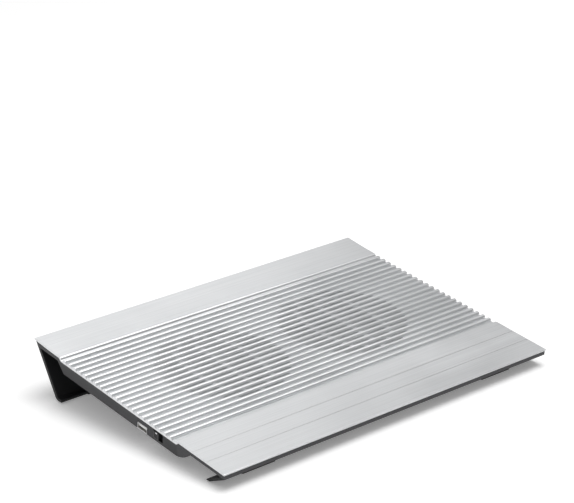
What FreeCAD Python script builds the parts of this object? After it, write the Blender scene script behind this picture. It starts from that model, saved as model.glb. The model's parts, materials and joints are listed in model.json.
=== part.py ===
import FreeCAD, Part
import math
import os

from FreeCAD import Vector

# Laptop cooling pad: a tilted, ribbed aluminium deck on a dark plastic tray, two stands and two fans.
# World frame: +Z up from the table, +X to the user's right, +Y away from the user, millimetres.
# Deck frame: X as in the world, Y up the slope, Z square to the rib crests, which lie on its Z = 0.

# --- driving dimensions: deck -------------------------------------------------------------------
WIDTH = 380.0
DECK_TILT = 7.8
DECK_HEIGHT = 34.75
DECK_FRONT = -140.2
DECK_REAR = 139.76
DECK_REAR_RISE = 1.2
SHEET = 1.5
RIB_COUNT = 21
RIB_PITCH = 7.88
RIB_RADIUS = 2.5
FIRST_RIB = 92.4
VALLEY = -2.6
REAR_STEP = 99.8
REAR_STEP_RUN = 4.6
FRONT_STEP = -70.6
FRONT_STEP_RUN = -4.4
UNDER_REAR_STEP = 101.6
UNDER_REAR_RUN = 4.6
UNDER_FRONT_STEP = -73.5
UNDER_FRONT_RUN = -4.2
GROOVES = (-96.6, -115.8)
GROOVE_WIDTH = 0.8
GROOVE_DEPTH = 0.35
SCREW_RAIL_WIDTH = 7.0
SCREW_RAIL_LENGTH = 370.0
FRONT_RAIL = -107.0
FRONT_RAIL_BOTTOM = -2.9
REAR_RAIL = 118.0
REAR_RAIL_BOTTOM = -4.0
SLOT_WIDTH = 2.2
SLOT_LONGEST = 28.0
SLOT_BRIDGE = 4.0
VENT_RADIUS = 62.0

# --- driving dimensions: tray -------------------------------------------------------------------
TRAY_HALF_WIDTH = 189.0
WALL = 2.4
FLOOR = 2.0
TRAY_BOTTOM = -15.6
TRAY_REAR = 94.4
TRAY_FRONT = -74.0
REAR_SHELF_START = 104.2
REAR_SHELF_BOTTOM = -6.0
REAR_LIP = 2.2
REAR_LIP_REACH = 3.3
REAR_LIP_GAP = 0.25
REAR_CURVE_GAP = 0.2
FRONT_SHELF_START = -92.5
FRONT_SHELF_BOTTOM = -5.6
SHELF_FRONT = -139.6
SHELF_REAR = 135.9
WELL_SIZE = 141.0
WELL_DROP = 21.9
GRILLE_RINGS = 6
GRILLE_FIRST = 26.0
GRILLE_SLOT = 4.8
GRILLE_BAR = 2.0
GRILLE_SPOKES = 6
GRILLE_SPOKE_WIDTH = 3.0

# --- driving dimensions: stands and pads ----------------------------------------------------------
STAND_LIFT = 1.5
REAR_FACE_LEAN = 0.5354
REAR_FACE_FOOT = 110.8
REAR_BLADE = 3.5
TOE_FRONT = 102.9
TOE_HEIGHT = 2.7
TOE_ROUND = 6.0
FRONT_FACE_FOOT = -116.6
FRONT_BLADE_FOOT = 6.7
FLANGE = 2.0
FLANGE_INSET = 4.0
PAD_CENTRE = 140.5
PAD_LENGTH = 37.0
PAD_OVERHANG = 5.9
PAD_ROUND = 2.0

# --- driving dimensions: fans -------------------------------------------------------------------
FAN_X = 71.8
FAN_Y = 11.0
FAN_SIZE = 140.0
FAN_DEPTH = 15.0
FAN_HOLES = 124.5
DUCT_RADIUS = 66.4
DUCT_WALL = 3.2
BLADE_TIP = 64.9
BLADE_COUNT = 9
HUB_RADIUS = 20.5
HUB_WALL = 1.4
SHAFT_RADIUS = 1.5
SHAFT_CLEARANCE = 0.05
BEARING_RADIUS = 3.0
POLE_COUNT = 4

# --- driving dimensions: sockets, switch and leads ----------------------------------------------
PORT_Y = -24.9
PORT_WIDTH = 13.2
PORT_HEIGHT = 5.9
PORT_BOTTOM = -15.3
PORT_DEPTH = 14.0
SWITCH_Y = -45.6
SWITCH_TRAVEL = 4.6
CAP_WIDTH = 7.4
CAP_HEIGHT = 7.0
CAP_MIDDLE = -9.5
CAP_GAP = 0.6
BOARD_TOP = -7.8
BOARD = 1.6
INLET_X = -165.0
INLET_MOUTH = 98.6
FAN_LEAD_RADIUS = 0.75
INLET_LEAD_RADIUS = 1.5

SCREW_X = (-160.0, -80.0, 0.0, 80.0, 160.0)
UNDER = VALLEY - SHEET
WELL_FLOOR = -WELL_DROP + FLOOR


# --- geometry helpers ----------------------------------------------------------------------------
class Outline:
    """A closed outline in the Y-Z plane, drawn with lines and arcs and pushed out along X."""

    def __init__(self, y, z):
        self.start = Vector(0, y, z)
        self.here = self.start
        self.edges = []

    def line(self, y, z):
        there = Vector(0, y, z)
        self.edges.append(Part.makeLine(self.here, there))
        self.here = there
        return self

    def arc(self, mid_y, mid_z, y, z):
        there = Vector(0, y, z)
        self.edges.append(Part.Arc(self.here, Vector(0, mid_y, mid_z), there).toShape())
        self.here = there
        return self

    def s_bend(self, run, rise):
        """Two equal arcs, level at both ends, that shift the outline by run and rise."""
        half_run = abs(run) / 2
        half_rise = abs(rise) / 2
        radius = (half_run ** 2 + half_rise ** 2) / (2 * half_rise)
        quarter = math.atan2(half_rise, half_run)
        ahead = math.copysign(radius * math.sin(quarter), run)
        aside = math.copysign(radius * (1 - math.cos(quarter)), rise)
        y = self.here.y
        z = self.here.z
        self.arc(y + ahead, z + aside, y + run / 2, z + rise / 2)
        return self.arc(y + run - ahead, z + rise - aside, y + run, z + rise)

    def solid(self, x_low, x_high):
        self.edges.append(Part.makeLine(self.here, self.start))
        face = Part.Face(Part.Wire(self.edges))
        face.translate(Vector(x_low, 0, 0))
        return face.extrude(Vector(x_high - x_low, 0, 0))


def box(x, y, z):
    """A box from three (low, high) pairs."""
    size = (x[1] - x[0], y[1] - y[0], z[1] - z[0])
    return Part.makeBox(*size, Vector(x[0], y[0], z[0]))


def disc(radius, z_low, z_high, x=0.0, y=0.0):
    return Part.makeCylinder(radius, z_high - z_low, Vector(x, y, z_low))


def ring(outer, inner, z_low, z_high, x=0.0, y=0.0):
    return disc(outer, z_low, z_high, x, y).cut(disc(inner, z_low, z_high, x, y))


def turned(shape, degrees):
    copy = shape.copy()
    copy.rotate(Vector(0, 0, 0), Vector(0, 0, 1), degrees)
    return copy


def moved(shape, x, y, z):
    copy = shape.copy()
    copy.translate(Vector(x, y, z))
    return copy


def fused(shapes):
    return shapes[0].multiFuse(shapes[1:]).removeSplitter() if len(shapes) > 1 else shapes[0]


def rounded_box(x, y, z, radius):
    """A box whose four upright edges are rounded."""
    block = box(x, y, z)
    upright = [e for e in block.Edges if abs(e.tangentAt(e.FirstParameter).z) > 0.99]
    return block.makeFillet(radius, upright)


def fillet_at(shape, radius, y, z):
    """Round the edges along X that pass through the point (y, z) of the cross-section."""
    near = []
    for edge in shape.Edges:
        ends = [v.Point for v in edge.Vertexes]
        if all(math.hypot(p.y - y, p.z - z) < 0.01 for p in ends) and edge.Length > radius:
            near.append(edge)
    return shape.makeFillet(radius, near)


def obround(x, y, length, width, z_low, z_high):
    """A slot cutter along X with round ends."""
    reach = (length - width) / 2
    r = width / 2
    low = Vector(x - reach, y - r, z_low)
    edges = [
        Part.makeLine(low, low + Vector(2 * reach, 0, 0)),
        Part.Arc(
            Vector(x + reach, y - r, z_low), Vector(x + reach + r, y, z_low), Vector(x + reach, y + r, z_low)
        ).toShape(),
        Part.makeLine(Vector(x + reach, y + r, z_low), Vector(x - reach, y + r, z_low)),
        Part.Arc(
            Vector(x - reach, y + r, z_low), Vector(x - reach - r, y, z_low), Vector(x - reach, y - r, z_low)
        ).toShape(),
    ]
    return Part.Face(Part.Wire(edges)).extrude(Vector(0, 0, z_high - z_low))


def cord(points, bend, radius):
    """A round lead along straight runs joined by tangent arcs of the given bend radius."""
    edges = []
    here = points[0]
    for before, corner, after in zip(points, points[1:], points[2:]):
        back = (before - corner).normalize()
        ahead = (after - corner).normalize()
        half = back.getAngle(ahead) / 2
        reach = bend / math.tan(half)
        entry = corner + back * reach
        leave = corner + ahead * reach
        inward = (back + ahead).normalize()
        middle = corner + inward * (bend / math.sin(half) - bend)
        edges.append(Part.makeLine(here, entry))
        edges.append(Part.Arc(entry, middle, leave).toShape())
        here = leave
    edges.append(Part.makeLine(here, points[-1]))
    path = Part.Wire(edges)
    along = (points[1] - points[0]).normalize()
    section = Part.Wire([Part.makeCircle(radius, points[0], along)])
    return path.makePipeShell([section], True, False)


def pan_screw(x, y, head_z, shank_top, radius, head_radius, head_height):
    """A screw driven upwards: domed head below head_z, plain shank above it, cross recess below."""
    head = disc(head_radius, head_z - head_height, head_z, x, y)
    lower_rim = [e for e in head.Edges if e.BoundBox.ZMax < head_z - head_height / 2 and e.Closed]
    head = head.makeFillet(head_height * 0.6, lower_rim)
    screw = head.fuse(disc(radius, head_z, shank_top, x, y)).removeSplitter()
    reach = head_radius * 0.6
    recess = (head_z - head_height - 1, head_z - head_height / 2)
    blade = 0.35
    screw = screw.cut(box((x - reach, x + reach), (y - blade, y + blade), recess))
    return screw.cut(box((x - blade, x + blade), (y - reach, y + reach), recess))


def on_deck(shape):
    """Tilt a shape drawn in the deck frame into the world frame."""
    copy = shape.copy()
    copy.rotate(Vector(0, 0, 0), Vector(1, 0, 0), DECK_TILT)
    copy.translate(Vector(0, 0, DECK_HEIGHT))
    return copy


def deck_point(y, z):
    """World (y, z) of a deck-frame point."""
    tilt = math.radians(DECK_TILT)
    return (y * math.cos(tilt) - z * math.sin(tilt), DECK_HEIGHT + y * math.sin(tilt) + z * math.cos(tilt))


def on_level(level, y, z, lean):
    """World point where a line through (y, z), moving lean in Y per unit of Z, meets a deck level."""
    tilt = math.radians(DECK_TILT)
    rise = DECK_HEIGHT + level / math.cos(tilt) + (y - lean * z) * math.tan(tilt)
    top = rise / (1 - lean * math.tan(tilt))
    return (y + lean * (top - z), top)


# --- deck ------------------------------------------------------------------------------------------
def deck_underside(outline):
    """Draw the underside of the sheet from the front step to the rear edge."""
    outline.s_bend(-UNDER_FRONT_RUN, UNDER + SHEET)
    outline.line(UNDER_REAR_STEP - UNDER_REAR_RUN, UNDER)
    outline.s_bend(UNDER_REAR_RUN, -UNDER - SHEET)
    middle = (UNDER_REAR_STEP + DECK_REAR) / 2
    outline.arc(middle, DECK_REAR_RISE / 4 - SHEET, DECK_REAR, DECK_REAR_RISE - SHEET)


def vent_slots():
    """Slots through the valleys over both fans."""
    slots = []
    for fan_x in (-FAN_X, FAN_X):
        for i in range(RIB_COUNT - 1):
            y = FIRST_RIB - RIB_PITCH * (i + 0.5)
            off = abs(y - FAN_Y)
            if off > VENT_RADIUS * 0.95:
                continue
            chord = 2 * math.sqrt(VENT_RADIUS ** 2 - off ** 2)
            count = math.ceil((chord + SLOT_BRIDGE) / (SLOT_LONGEST + SLOT_BRIDGE))
            pitch = (chord + SLOT_BRIDGE) / count
            for k in range(count):
                x = fan_x + (k - (count - 1) / 2) * pitch
                slots.append(obround(x, y, pitch - SLOT_BRIDGE, SLOT_WIDTH, UNDER - 1, VALLEY + 1))
    return slots


def top_panel():
    """The extruded deck: smooth rear and front bands, ribs between them, screw rails below."""
    edge = SHEET / 2
    outline = Outline(UNDER_FRONT_STEP + UNDER_FRONT_RUN, -SHEET)
    deck_underside(outline)
    outline.arc(DECK_REAR + 0.4, DECK_REAR_RISE - edge, DECK_REAR, DECK_REAR_RISE)
    outline.arc((REAR_STEP + DECK_REAR) / 2, DECK_REAR_RISE / 4, REAR_STEP, 0)
    outline.s_bend(-REAR_STEP_RUN, VALLEY)
    half_rib = math.sqrt(RIB_RADIUS ** 2 - (VALLEY + RIB_RADIUS) ** 2)
    for i in range(RIB_COUNT):
        y = FIRST_RIB - RIB_PITCH * i
        outline.line(y + half_rib, VALLEY)
        outline.arc(y, 0, y - half_rib, VALLEY)
    outline.line(FRONT_STEP, VALLEY)
    outline.s_bend(FRONT_STEP_RUN, -VALLEY)
    for y in GROOVES:
        outline.line(y + GROOVE_WIDTH / 2, 0)
        outline.line(y, -GROOVE_DEPTH)
        outline.line(y - GROOVE_WIDTH / 2, 0)
    outline.line(DECK_FRONT + edge, 0)
    outline.arc(DECK_FRONT, -edge, DECK_FRONT + edge, -SHEET)
    sheet = outline.solid(-WIDTH / 2, WIDTH / 2)
    reach = SCREW_RAIL_LENGTH / 2
    half = SCREW_RAIL_WIDTH / 2
    rails = [
        box((-reach, reach), (FRONT_RAIL - half, FRONT_RAIL + half), (FRONT_RAIL_BOTTOM, -SHEET / 2)),
        box((-reach, reach), (REAR_RAIL - half, REAR_RAIL + half), (REAR_RAIL_BOTTOM, -SHEET / 2)),
    ]
    holes = []
    for x in SCREW_X:
        holes.append(disc(1.3, FRONT_RAIL_BOTTOM, -0.8, x, FRONT_RAIL))
        holes.append(disc(1.3, REAR_RAIL_BOTTOM, -1.0, x, REAR_RAIL))
    return sheet.multiFuse(rails).cut(vent_slots() + holes)


# --- tray ------------------------------------------------------------------------------------------
def tray_underside(outline):
    """Draw the tray's outer surface from the rear lip to the front edge of the front shelf."""
    outline.line(SHELF_REAR, REAR_SHELF_BOTTOM)
    outline.line(REAR_SHELF_START, REAR_SHELF_BOTTOM)
    outline.line(TRAY_REAR, TRAY_BOTTOM)
    outline.line(TRAY_FRONT, TRAY_BOTTOM)
    outline.arc(-84.6, -11.9, FRONT_SHELF_START, FRONT_SHELF_BOTTOM)
    outline.line(SHELF_FRONT, FRONT_SHELF_BOTTOM)


def tray_shell():
    """The bent floor of the tray with its shelves, and the two end walls under the deck's edges."""
    lip_top = DECK_REAR_RISE - SHEET - REAR_LIP_GAP
    band = Outline(SHELF_REAR + REAR_LIP_REACH, lip_top)
    tray_underside(band)
    band.line(SHELF_FRONT, -SHEET)
    band.line(SHELF_FRONT + FLOOR, -SHEET)
    band.line(SHELF_FRONT + FLOOR, FRONT_RAIL_BOTTOM)
    band.line(FRONT_SHELF_START - 0.4, FRONT_RAIL_BOTTOM)
    band.arc(-83.2, -10.3, TRAY_FRONT + 0.4, TRAY_BOTTOM + FLOOR)
    band.line(TRAY_REAR - 0.9, TRAY_BOTTOM + FLOOR)
    band.line(REAR_SHELF_START - 0.9, REAR_RAIL_BOTTOM)
    band.line(SHELF_REAR - REAR_LIP + 0.6, REAR_RAIL_BOTTOM)
    band.line(SHELF_REAR - REAR_LIP + 2.8, lip_top)
    pieces = [band.solid(-TRAY_HALF_WIDTH, TRAY_HALF_WIDTH)]
    for low in (-TRAY_HALF_WIDTH, TRAY_HALF_WIDTH - WALL):
        wall = Outline(SHELF_REAR + REAR_LIP_REACH, lip_top)
        tray_underside(wall)
        wall.line(SHELF_FRONT, -SHEET)
        wall.line(UNDER_FRONT_STEP + UNDER_FRONT_RUN, -SHEET)
        wall.s_bend(-UNDER_FRONT_RUN, UNDER + SHEET)
        wall.line(UNDER_REAR_STEP - UNDER_REAR_RUN, UNDER)
        wall.s_bend(UNDER_REAR_RUN, -UNDER - SHEET)
        curve_middle = (UNDER_REAR_STEP + SHELF_REAR + FLOOR) / 2
        wall.arc(curve_middle, DECK_REAR_RISE / 4 - SHEET - REAR_CURVE_GAP, SHELF_REAR + FLOOR, lip_top)
        pieces.append(wall.solid(low, low + WALL))
    return pieces


def grille_cutters(x):
    """Ring slots below a fan, crossed by spokes."""
    slots = []
    for i in range(GRILLE_RINGS):
        inner = GRILLE_FIRST + i * (GRILLE_SLOT + GRILLE_BAR)
        slots.append(ring(inner + GRILLE_SLOT, inner, -WELL_DROP - 1, WELL_FLOOR + 1))
    outer = GRILLE_FIRST + GRILLE_RINGS * (GRILLE_SLOT + GRILLE_BAR)
    half = GRILLE_SPOKE_WIDTH / 2
    spokes = []
    for k in range(GRILLE_SPOKES):
        spoke = box((0, outer), (-half, half), (-WELL_DROP - 2, WELL_FLOOR + 2))
        spokes.append(turned(spoke, 360.0 * k / GRILLE_SPOKES))
    pattern = Part.makeCompound(slots).cut(spokes)
    return moved(pattern, x, FAN_Y, 0)


def fan_corners(x):
    """The four screw positions of the fan at x."""
    half = FAN_HOLES / 2
    return [(x + i * half, FAN_Y + j * half) for i in (-1, 1) for j in (-1, 1)]


BOARD_BOSSES = ((-170.0, -56.0), (-155.0, -56.0), (-172.0, -15.5), (-155.0, -15.5))
INLET_BOSSES = ((-172.0, 81.0), (-158.0, 81.0))
INLET_BOARD_BOTTOM = -12.4
INLET_BOARD = 1.2
HUB_BOARD_BOTTOM = BOARD_TOP - BOARD


def base_tray():
    """The moulded tray: shell, fan wells with grilles, board bosses and the openings in its walls."""
    outer = WELL_SIZE / 2 + FLOOR
    reach = FAN_X + outer
    plateau = rounded_box((-reach, reach), (FAN_Y - outer, FAN_Y + outer), (-WELL_DROP, TRAY_BOTTOM + FLOOR), 6)
    inner_floor = TRAY_BOTTOM + FLOOR
    bosses = [disc(2.6, inner_floor - 0.5, HUB_BOARD_BOTTOM, x, y) for x, y in BOARD_BOSSES]
    bosses += [disc(2.6, inner_floor - 0.5, INLET_BOARD_BOTTOM, x, y) for x, y in INLET_BOSSES]
    tray = fused(tray_shell() + [plateau] + bosses)

    cutters = []
    half = WELL_SIZE / 2
    for x in (-FAN_X, FAN_X):
        pocket = ((x - half, x + half), (FAN_Y - half, FAN_Y + half), (WELL_FLOOR, inner_floor + 0.5))
        cutters.append(rounded_box(*pocket, 4))
        cutters.append(grille_cutters(x))
        for hole_x, hole_y in fan_corners(x):
            cutters.append(disc(1.7, -WELL_DROP - 1, WELL_FLOOR + 1, hole_x, hole_y))
    for x in SCREW_X:
        cutters.append(disc(1.5, FRONT_SHELF_BOTTOM - 1, FRONT_RAIL_BOTTOM + 1, x, FRONT_RAIL))
        cutters.append(disc(1.5, REAR_SHELF_BOTTOM - 1, REAR_RAIL_BOTTOM + 1, x, REAR_RAIL))
    cutters += [disc(0.9, inner_floor, HUB_BOARD_BOTTOM, x, y) for x, y in BOARD_BOSSES]
    cutters += [disc(0.9, inner_floor - 1, INLET_BOARD_BOTTOM, x, y) for x, y in INLET_BOSSES]

    wall_out = -TRAY_HALF_WIDTH
    port = PORT_WIDTH / 2 + 0.7
    port_top = PORT_BOTTOM + PORT_HEIGHT + 0.6
    cutters.append(
        box((wall_out - 1, wall_out + PORT_DEPTH + 1), (PORT_Y - port, PORT_Y + port), (TRAY_BOTTOM - 1, port_top))
    )
    rear_end = SWITCH_Y + CAP_WIDTH / 2 + CAP_GAP
    front_end = SWITCH_Y - SWITCH_TRAVEL - CAP_WIDTH / 2 - CAP_GAP
    window = CAP_HEIGHT / 2 + 0.4
    cutters.append(
        box((wall_out - 1, wall_out + WALL + 1), (front_end, rear_end), (CAP_MIDDLE - window, CAP_MIDDLE + window))
    )
    inlet_low = INLET_BOARD_BOTTOM + INLET_BOARD - 0.3
    cutters.append(box((INLET_X - 4.4, INLET_X + 4.4), (90.5, 106), (inlet_low, inlet_low + 4.6)))
    return tray.cut(cutters)


# --- stands and pads --------------------------------------------------------------------------------
def stand_flange(y_low, y_high, z_low, z_high, screw_y):
    """The flat flange a stand is screwed up through, in the world frame."""
    reach = TRAY_HALF_WIDTH - FLANGE_INSET
    flange = box((-reach, reach), (y_low, y_high), (z_low, z_high))
    return on_deck(flange), on_deck(Part.makeCompound([disc(1.5, z_low - 1, z_high + 1, x, screw_y) for x in SCREW_X]))


def rear_stand():
    """The full-width rear blade, leaning forward to a rounded toe."""
    slant = REAR_BLADE * math.hypot(1, REAR_FACE_LEAN)
    top_outer = on_level(REAR_SHELF_BOTTOM, REAR_FACE_FOOT, STAND_LIFT, REAR_FACE_LEAN)
    top_inner = on_level(REAR_SHELF_BOTTOM, REAR_FACE_FOOT - slant, STAND_LIFT, REAR_FACE_LEAN)
    toe_top = STAND_LIFT + TOE_HEIGHT
    knee = REAR_FACE_FOOT - slant + REAR_FACE_LEAN * TOE_HEIGHT
    outline = Outline(*top_outer)
    outline.line(REAR_FACE_FOOT, STAND_LIFT)
    outline.line(TOE_FRONT, STAND_LIFT)
    outline.line(TOE_FRONT, toe_top)
    outline.line(knee, toe_top)
    outline.line(*top_inner)
    blade = outline.solid(-TRAY_HALF_WIDTH, TRAY_HALF_WIDTH)
    blade = fillet_at(blade, TOE_ROUND, REAR_FACE_FOOT, STAND_LIFT)
    blade = fillet_at(blade, 2.5, knee, toe_top)
    blade = fillet_at(blade, 1.0, TOE_FRONT, toe_top)
    flange_low = REAR_SHELF_BOTTOM - FLANGE
    flange, holes = stand_flange(108, 134, flange_low, REAR_SHELF_BOTTOM, REAR_RAIL)
    return blade.fuse(flange).removeSplitter().cut(holes)


def front_face():
    """Top point and lean of the front stand's front face."""
    top = deck_point(SHELF_FRONT, FRONT_SHELF_BOTTOM)
    return top, (top[0] - FRONT_FACE_FOOT) / (top[1] - STAND_LIFT)


def front_stand():
    """The full-width front blade, sloping back from the front edge to the table."""
    top, lean = front_face()
    back_foot = FRONT_FACE_FOOT + FRONT_BLADE_FOOT
    outline = Outline(*top)
    outline.line(FRONT_FACE_FOOT, STAND_LIFT)
    outline.line(back_foot, STAND_LIFT)
    outline.line(*on_level(FRONT_SHELF_BOTTOM, back_foot, STAND_LIFT, lean))
    blade = outline.solid(-TRAY_HALF_WIDTH, TRAY_HALF_WIDTH)
    blade = fillet_at(blade, 1.0, FRONT_FACE_FOOT, STAND_LIFT)
    blade = fillet_at(blade, 0.6, back_foot, STAND_LIFT)
    flange_low = FRONT_SHELF_BOTTOM - FLANGE
    flange, holes = stand_flange(-136, -98, flange_low, FRONT_SHELF_BOTTOM, FRONT_RAIL)
    return blade.fuse(flange).removeSplitter().cut(holes)


def pad_pair(outline):
    """Two rubber pads of one cross-section, with rounded ends, near the ends of a stand."""
    pads = []
    for x in (-PAD_CENTRE, PAD_CENTRE):
        pad = outline().solid(x - PAD_LENGTH / 2, x + PAD_LENGTH / 2)
        ends = (x - PAD_LENGTH / 2, x + PAD_LENGTH / 2)
        upright = [
            e
            for e in pad.Edges
            if abs(e.tangentAt(e.FirstParameter).z) > 0.99 and min(abs(e.BoundBox.Center.x - c) for c in ends) < 0.01
        ]
        pads.append(pad.makeFillet(PAD_ROUND, upright))
    return Part.makeCompound(pads)


def front_pads():
    def outline():
        _, lean = front_face()
        front = FRONT_FACE_FOOT - PAD_OVERHANG
        section = Outline(front, 0)
        section.line(FRONT_FACE_FOOT + FRONT_BLADE_FOOT - 0.7, 0)
        section.line(FRONT_FACE_FOOT + FRONT_BLADE_FOOT - 0.7, STAND_LIFT)
        section.line(FRONT_FACE_FOOT, STAND_LIFT)
        return section.line(front, STAND_LIFT - PAD_OVERHANG / lean)

    return pad_pair(outline)


def rear_pads():
    def outline():
        section = Outline(TOE_FRONT + 0.4, 0)
        section.line(TOE_FRONT + 4.6, 0)
        section.line(TOE_FRONT + 4.6, STAND_LIFT)
        return section.line(TOE_FRONT + 0.4, STAND_LIFT)

    return pad_pair(outline)


# --- fans: drawn with the axis on Z and the mounting face at Z = 0 --------------------------------
MOTOR_BASE = 1.8
TUBE_RADIUS = 4.4
TUBE_TOP = 10.4
TUBE_FLOOR = 1.0
STRUT_HEIGHT = 2.4
STRUT_WIDTH = 5.0
CHANNEL = 2.2
LEAD_HEIGHT = 1.3
LEAD_EXIT = 76.0
LEAD_ANGLE = 225.0
BOARD_RADIUS = 16.5
CORE_RADIUS = 15.6
HUB_BOTTOM = 3.6
HUB_TOP = 14.0


def fan_frame():
    """Square frame with a round duct, four struts and the motor base with its bearing tube."""
    half = FAN_SIZE / 2
    body = rounded_box((-half, half), (-half, half), (0, 3), 5)
    body = body.fuse(disc(DUCT_RADIUS + DUCT_WALL, 0, FAN_DEPTH))
    hole = FAN_HOLES / 2
    corners = [(i * hole, j * hole) for i in (-1, 1) for j in (-1, 1)]
    body = body.fuse([disc(4.2, 0, 9, x, y) for x, y in corners])
    body = body.cut(disc(DUCT_RADIUS, -1, FAN_DEPTH + 1))
    body = body.cut([disc(1.55, -1, 10, x, y) for x, y in corners])
    struts = []
    for k in range(4):
        strut = box((BOARD_RADIUS + 0.5, DUCT_RADIUS + 1), (-STRUT_WIDTH / 2, STRUT_WIDTH / 2), (0, STRUT_HEIGHT))
        struts.append(turned(strut, 45 + 90 * k))
    base = [disc(HUB_RADIUS - 1, 0, MOTOR_BASE), disc(TUBE_RADIUS, 0, TUBE_TOP)]
    frame = body.multiFuse(struts + base).removeSplitter()
    channel = box((BOARD_RADIUS - 2, LEAD_EXIT + 1.5), (-CHANNEL / 2, CHANNEL / 2), (0.4, STRUT_HEIGHT + 1))
    frame = frame.cut(disc(BEARING_RADIUS, TUBE_FLOOR, TUBE_TOP + 1))
    return frame.cut(turned(channel, LEAD_ANGLE)).removeSplitter()


def blade_section(radius, pitch, length, shift):
    """A cambered blade section in the plane square to X at the given radius."""
    angle = math.radians(pitch)
    along = Vector(0, math.cos(angle), math.sin(angle))
    across = Vector(0, -math.sin(angle), math.cos(angle))
    middle = Vector(radius, shift, (HUB_BOTTOM + HUB_TOP) / 2 - 0.3)
    back = middle - along * (length / 2)
    front = middle + along * (length / 2)
    thin = 0.35
    camber = length * 0.08
    edges = [
        Part.Arc(back + across * thin, middle + across * (camber + 0.75), front + across * thin).toShape(),
        Part.makeLine(front + across * thin, front - across * thin),
        Part.Arc(front - across * thin, middle + across * (camber - 0.75), back - across * thin).toShape(),
        Part.makeLine(back - across * thin, back + across * thin),
    ]
    return Part.Wire(edges)


def impeller():
    """Hub cup with swept, twisted blades and a boss pressed onto the shaft."""
    sections = [
        blade_section(HUB_RADIUS - 0.6, 40, 13.5, 0),
        blade_section(43, 31, 17.5, 5),
        blade_section(DUCT_RADIUS + 2, 24, 23, 14),
    ]
    blade = Part.makeLoft(sections, True, False)
    blade = blade.common(disc(BLADE_TIP, HUB_BOTTOM - 0.2, HUB_TOP - 0.3))
    cup = disc(HUB_RADIUS, HUB_BOTTOM, HUB_TOP)
    top_rim = [e for e in cup.Edges if e.Closed and e.BoundBox.ZMin > HUB_TOP - 0.1]
    cup = cup.makeFillet(1.5, top_rim)
    blades = [turned(blade, 360.0 * k / BLADE_COUNT) for k in range(BLADE_COUNT)]
    wheel = cup.multiFuse(blades)
    inside = disc(HUB_RADIUS - HUB_WALL, HUB_BOTTOM - 1, HUB_TOP - 1.6)
    boss = disc(3.6, TUBE_TOP + 0.5, HUB_TOP - 1.6)
    wheel = wheel.cut(inside).fuse(boss)
    return wheel.cut(disc(SHAFT_RADIUS, TUBE_TOP, HUB_TOP - 0.6)).removeSplitter()


def rotor_yoke():
    """Pressed steel cup inside the hub."""
    outer = HUB_RADIUS - HUB_WALL
    cup = disc(outer, 4.2, HUB_TOP - 1.6).cut(disc(outer - 0.8, 4, HUB_TOP - 2.3))
    return cup.cut(disc(3.6, HUB_TOP - 3, HUB_TOP))


def rotor_magnet():
    outer = HUB_RADIUS - HUB_WALL - 0.8
    return ring(outer, outer - 1.9, 4.4, 11.4)


def rotor_shaft():
    shaft = disc(SHAFT_RADIUS, TUBE_FLOOR + 0.3, HUB_TOP - 0.6)
    ends = [e for e in shaft.Edges if e.Closed]
    return shaft.makeFillet(0.2, ends)


def shaft_clip():
    """Split ring that keeps the shaft in its bearing."""
    return ring(2.6, SHAFT_RADIUS, 1.55, 1.9).cut(box((0, 4), (-0.5, 0.5), (1, 3)))


def sleeve_bearing():
    return ring(BEARING_RADIUS, SHAFT_RADIUS + SHAFT_CLEARANCE, 2.25, TUBE_TOP - 0.6)


def stator_core():
    """Laminated core: a hub ring, four arms and four pole shoes."""
    low = 5.0
    high = 9.0
    shoes = ring(CORE_RADIUS, CORE_RADIUS - 2.4, low, high)
    gaps = [turned(box((0, 20), (-1.2, 1.2), (low - 1, high + 1)), 45 + 90 * k) for k in range(POLE_COUNT)]
    arms = [turned(box((4.8, CORE_RADIUS - 1.5), (-2, 2), (low, high)), 90 * k) for k in range(POLE_COUNT)]
    hub = ring(7.0, TUBE_RADIUS, low, high)
    return shoes.cut(gaps).multiFuse(arms + [hub]).cut(disc(TUBE_RADIUS, low - 1, high + 1)).removeSplitter()


def stator_coils():
    """One winding round each arm of the core."""
    coils = []
    for k in range(POLE_COUNT):
        winding = box((7.6, CORE_RADIUS - 3.4), (-4.2, 4.2), (4.1, 9.9))
        along = [e for e in winding.Edges if abs(e.tangentAt(e.FirstParameter).x) > 0.99]
        winding = winding.makeFillet(0.9, along)
        coils.append(turned(winding.cut(box((7, 14), (-2, 2), (5, 9))), 90 * k))
    return Part.makeCompound(coils)


def motor_board():
    """Round circuit board on the motor base with its driver chip."""
    board = ring(BOARD_RADIUS, TUBE_RADIUS + 0.3, MOTOR_BASE, MOTOR_BASE + 1.0)
    board = board.cut(turned(box((12.5, 18), (-1.1, 1.1), (0, 5)), LEAD_ANGLE))
    chip = turned(box((8.2, 11.4), (-1.5, 1.5), (MOTOR_BASE + 1.0, MOTOR_BASE + 2.1)), 45)
    return board.fuse(chip)


def placed_fan_part(shape, fan_x):
    return on_deck(moved(shape, fan_x, FAN_Y, WELL_FLOOR))


def lead_start(fan_x):
    """Inner end of a fan lead and the point at the frame's corner where it turns up."""
    angle = math.radians(LEAD_ANGLE)
    reach = Vector(math.cos(angle), math.sin(angle), 0)
    centre = Vector(fan_x, FAN_Y, WELL_FLOOR + LEAD_HEIGHT)
    return centre + reach * (HUB_RADIUS - 1 + 0.1), centre + reach * LEAD_EXIT


HEADER_MIDDLE = -6.2
LEAD_BEND = 3.0


def fan_lead_left():
    inner, corner = lead_start(-FAN_X)
    above = Vector(corner.x, corner.y, HEADER_MIDDLE)
    return cord([inner, corner, above, Vector(-151.0, corner.y, HEADER_MIDDLE)], LEAD_BEND, FAN_LEAD_RADIUS)


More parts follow.
